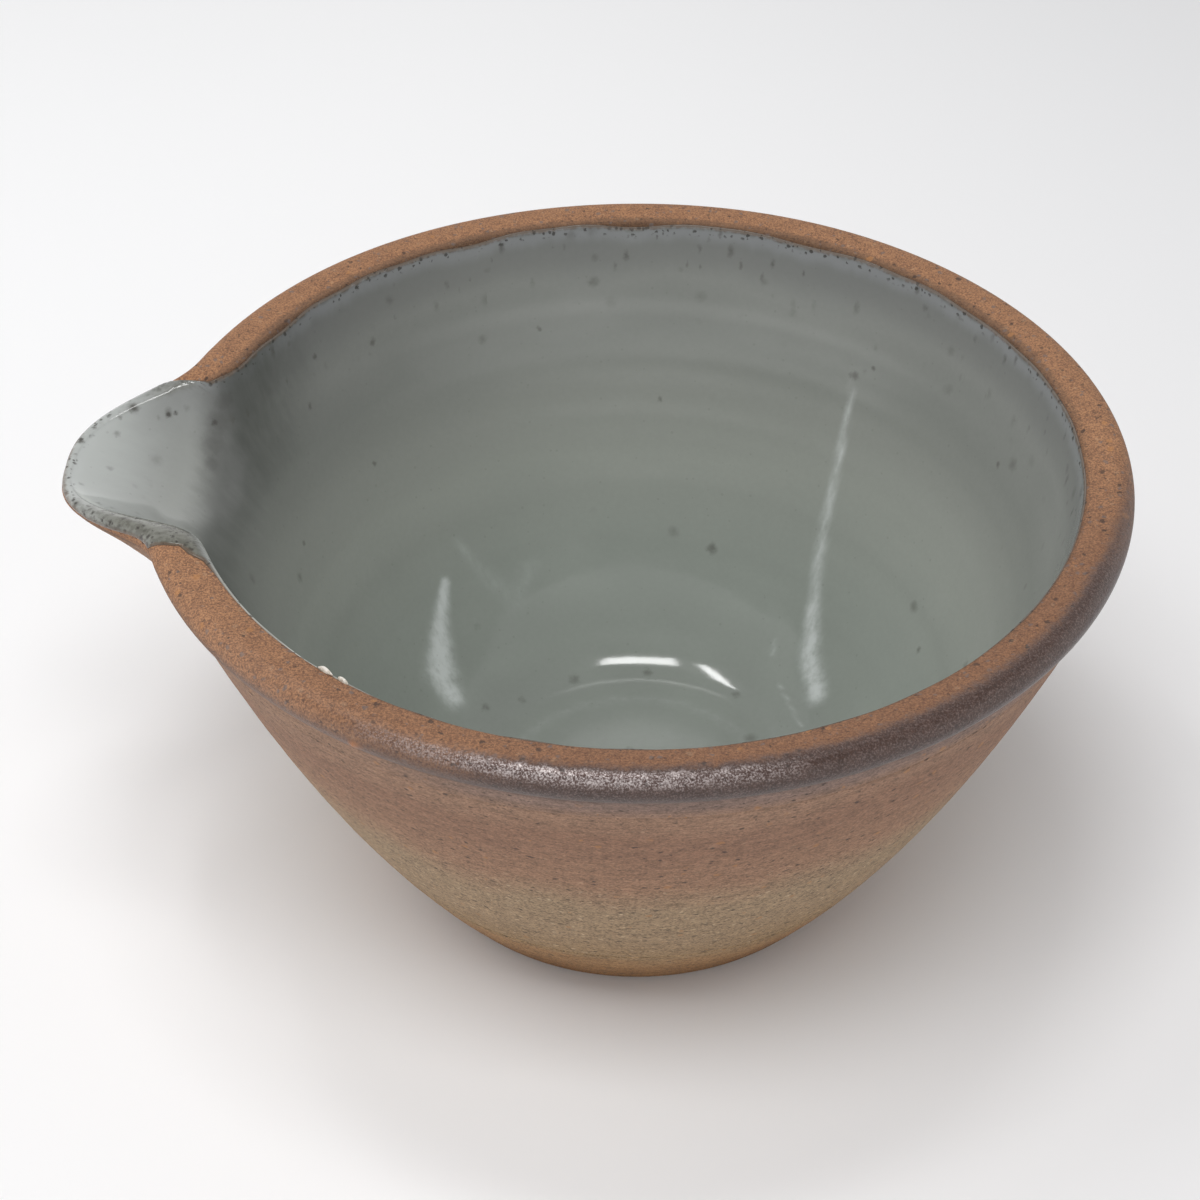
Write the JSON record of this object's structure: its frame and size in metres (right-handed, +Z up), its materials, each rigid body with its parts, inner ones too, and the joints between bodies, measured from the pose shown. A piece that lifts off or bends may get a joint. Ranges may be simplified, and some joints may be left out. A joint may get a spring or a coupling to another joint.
{
  "type": "lipped pouring bowl",
  "caption": "Round stoneware bowl with a rolled rim, one pulled pouring lip, a flat foot and a pale grey-green glaze lining inside bare brown clay.",
  "frame": {"origin": "centre of the flat foot's underside, on the axis the bowl was thrown about", "axes": "+Z up along the throwing axis, -X towards the pouring lip, so +X runs along the bowl's longest extent"},
  "size_m": [0.2173, 0.2, 0.1041],
  "materials": {
    "bare_stoneware": "unglazed reddish brown stoneware with dark and pale specks, toasted darker and slightly glossy along the near rim, olive tan towards the foot",
    "grey_green_glaze": "smooth satin to glossy pale grey-green glaze with iron specks, soft throwing rings and paler runs",
    "glaze_crumb": "opaque off-white glaze, glossy"
  },
  "bodies": {
    "root": {"stoneware_body": "bare_stoneware", "glaze_lining": "grey_green_glaze", "glaze_crumb_large": "glaze_crumb", "glaze_crumb_small": "glaze_crumb"}
  },
  "joints": []
}
